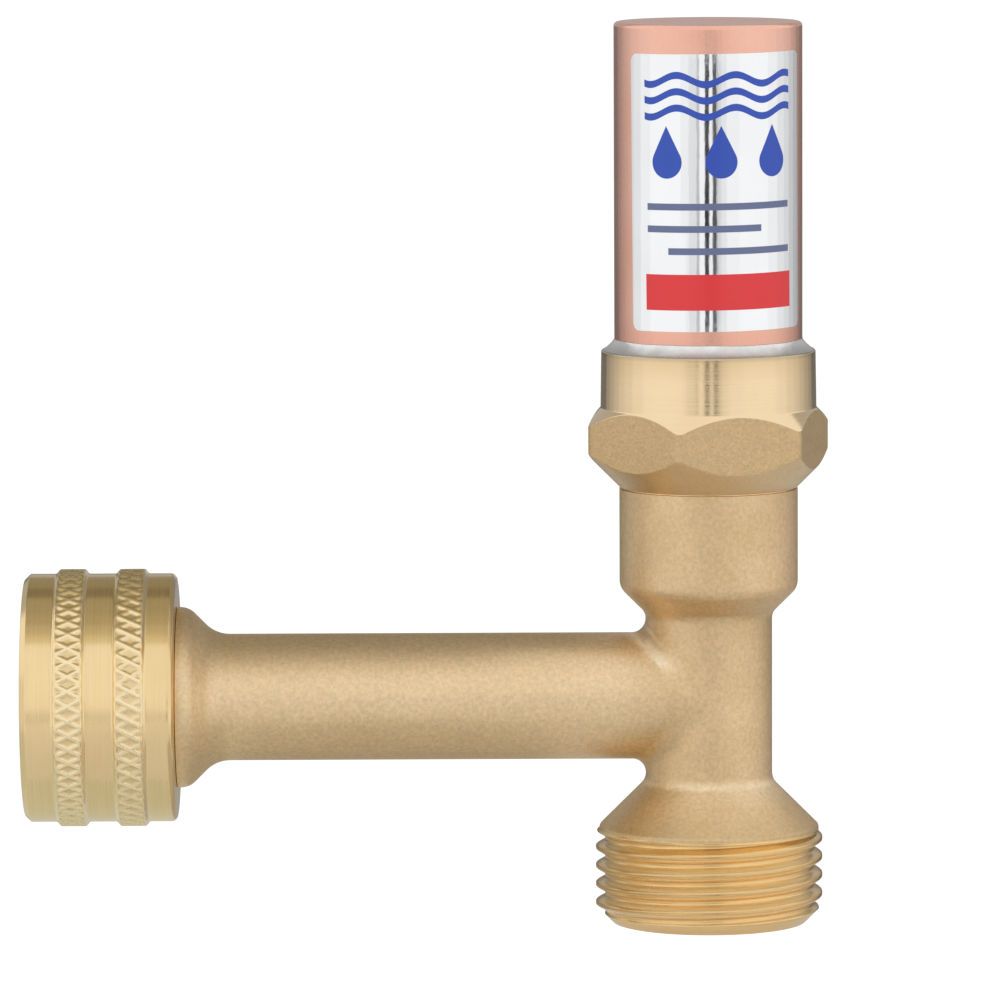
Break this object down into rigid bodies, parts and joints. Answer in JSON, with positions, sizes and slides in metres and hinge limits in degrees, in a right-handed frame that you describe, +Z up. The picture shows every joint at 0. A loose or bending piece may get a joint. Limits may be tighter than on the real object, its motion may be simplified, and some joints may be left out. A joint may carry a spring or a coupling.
{
  "type": "water hammer arrestor",
  "caption": "Brass tee with a knurled swivel hose nut, a threaded hose outlet and a sealed copper chamber whose sliding piston cushions pressure shocks in the line.",
  "frame": {"origin": "centre of the outlet's end face", "axes": "+Z up the chamber's axis, -X along the arm towards the swivel nut"},
  "size_m": [0.0952, 0.0306, 0.1068],
  "materials": {
    "cast_brass": "sand-blasted casting",
    "turned_brass": "polished",
    "adapter_brass": "satin turned",
    "copper": "bright drawn copper",
    "solder": "bright",
    "label_film": "gloss",
    "piston_plastic": "matt",
    "washer_rubber": "matt",
    "seal_rubber": "matt"
  },
  "bodies": {
    "tee": {"tee_body": "cast_brass", "hex_adapter": "adapter_brass", "adapter_seal": "seal_rubber", "copper_chamber": "copper", "solder_fillet": "solder", "label": "label_film"},
    "swivel": {"swivel_nut": "turned_brass", "hose_washer": "washer_rubber"},
    "piston": {"piston": "piston_plastic", "piston_ring_lower": "seal_rubber", "piston_ring_upper": "seal_rubber"}
  },
  "joints": [
    {"name": "swivel_turn", "type": "hinge", "parent": "tee", "child": "swivel", "pos_m": [-0.072, 0, 0.027], "axis": [-1, 0, 0], "continuous": true},
    {"name": "piston_slide", "type": "slide", "parent": "tee", "child": "piston", "axis": [0, 0, 1], "range_m": [0, 0.02], "stiffness_N_per_m": 40, "springref_m": -0.01}
  ]
}
